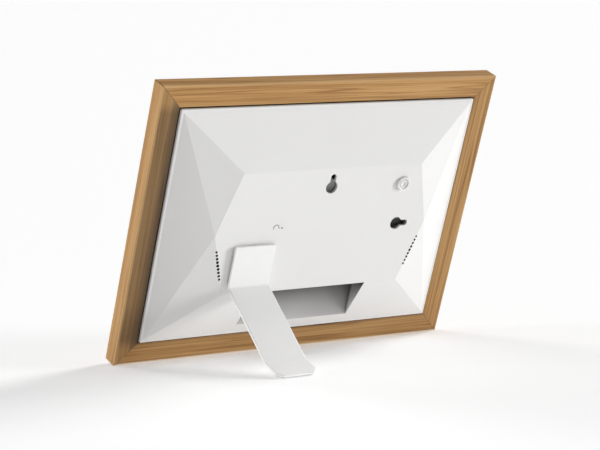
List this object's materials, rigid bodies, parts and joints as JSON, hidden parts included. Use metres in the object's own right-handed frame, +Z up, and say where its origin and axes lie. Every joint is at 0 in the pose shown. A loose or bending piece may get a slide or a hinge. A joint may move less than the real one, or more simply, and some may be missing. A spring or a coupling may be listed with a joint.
{
  "type": "digital photo frame",
  "caption": "Wooden digital photo frame with a faceted white rear cover, hanging keyholes, port recess, power button and a swivelling rear stand.",
  "frame": {"origin": "centre of the footprint, on the surface that the frame stands on", "axes": "+X runs across the frame, to the right as seen from the front; +Y points behind the screen, towards the stand; +Z up"},
  "size_m": [0.28, 0.1183, 0.2012],
  "materials": {
    "oak": "oiled oak, open grain",
    "white_plastic": "fine satin texture",
    "grey_plastic": "matte",
    "black_plastic": "matte",
    "glass": "clear, polished",
    "mat_card": "uncoated white mat board",
    "screen": "dark switched-off display",
    "acrylic": "clear light guide",
    "steel": "plated sheet",
    "brass": "turned",
    "aluminium": "extruded, bare",
    "circuit_board": "green solder mask",
    "foam": "closed-cell foam tape",
    "rubber": "soft, matte",
    "ribbon": "polyimide film"
  },
  "bodies": {
    "frame": {"rail_bottom": "oak", "rail_top": "oak", "rail_left": "oak", "rail_right": "oak", "front_glass": "glass", "mat_board": "mat_card", "mid_frame": "black_plastic", "cover_gasket": "foam", "lcd_panel": "screen", "diffuser_sheet": "white_plastic", "light_guide": "acrylic", "led_strip": "circuit_board", "lcd_tray": "steel", "tray_screw_1": "steel", "tray_screw_2": "steel", "tray_screw_3": "steel", "tray_screw_4": "steel", "lcd_flex": "ribbon", "flex_connector": "black_plastic", "main_board": "circuit_board", "board_standoff_1": "brass", "board_screw_1": "steel", "board_standoff_2": "brass", "board_screw_2": "steel", "board_standoff_3": "brass", "board_screw_3": "steel", "board_standoff_4": "brass", "board_screw_4": "steel", "processor_chip": "black_plastic", "memory_chip": "black_plastic", "flash_chip": "black_plastic", "heat_spreader": "aluminium", "wifi_module": "steel", "dc_jack": "black_plastic", "usb_port": "steel", "sd_card_slot": "steel", "wifi_antenna": "circuit_board", "antenna_lead": "black_plastic", "speaker_left": "black_plastic", "speaker_lead_left": "grey_plastic", "speaker_right": "black_plastic", "speaker_lead_right": "grey_plastic", "button_board": "circuit_board", "button_switch": "black_plastic", "button_board_screw_1": "steel", "button_board_screw_2": "steel", "keyhole_bracket_top": "steel", "keyhole_bracket_side": "steel", "rear_cover": "white_plastic", "friction_washer": "grey_plastic", "detent_plate": "steel"},
    "stand": {"stand_arm": "white_plastic", "stand_sole": "rubber", "pivot_stud": "steel", "pivot_screw": "steel", "pivot_cap": "steel", "wave_spring": "steel"},
    "power_button": {"power_button": "white_plastic", "switch_plunger": "grey_plastic"}
  },
  "joints": [
    {"name": "stand_swivel", "type": "hinge", "parent": "frame", "child": "stand", "pos_m": [0.0555, -0.00174, 0.07305], "axis": [0, -0.9397, 0.342], "range_deg": [0, 90]},
    {"name": "power_button_press", "type": "slide", "parent": "frame", "child": "power_button", "axis": [0, -0.9397, 0.342], "range_m": [0, 0.0006], "stiffness_N_per_m": 2500}
  ]
}
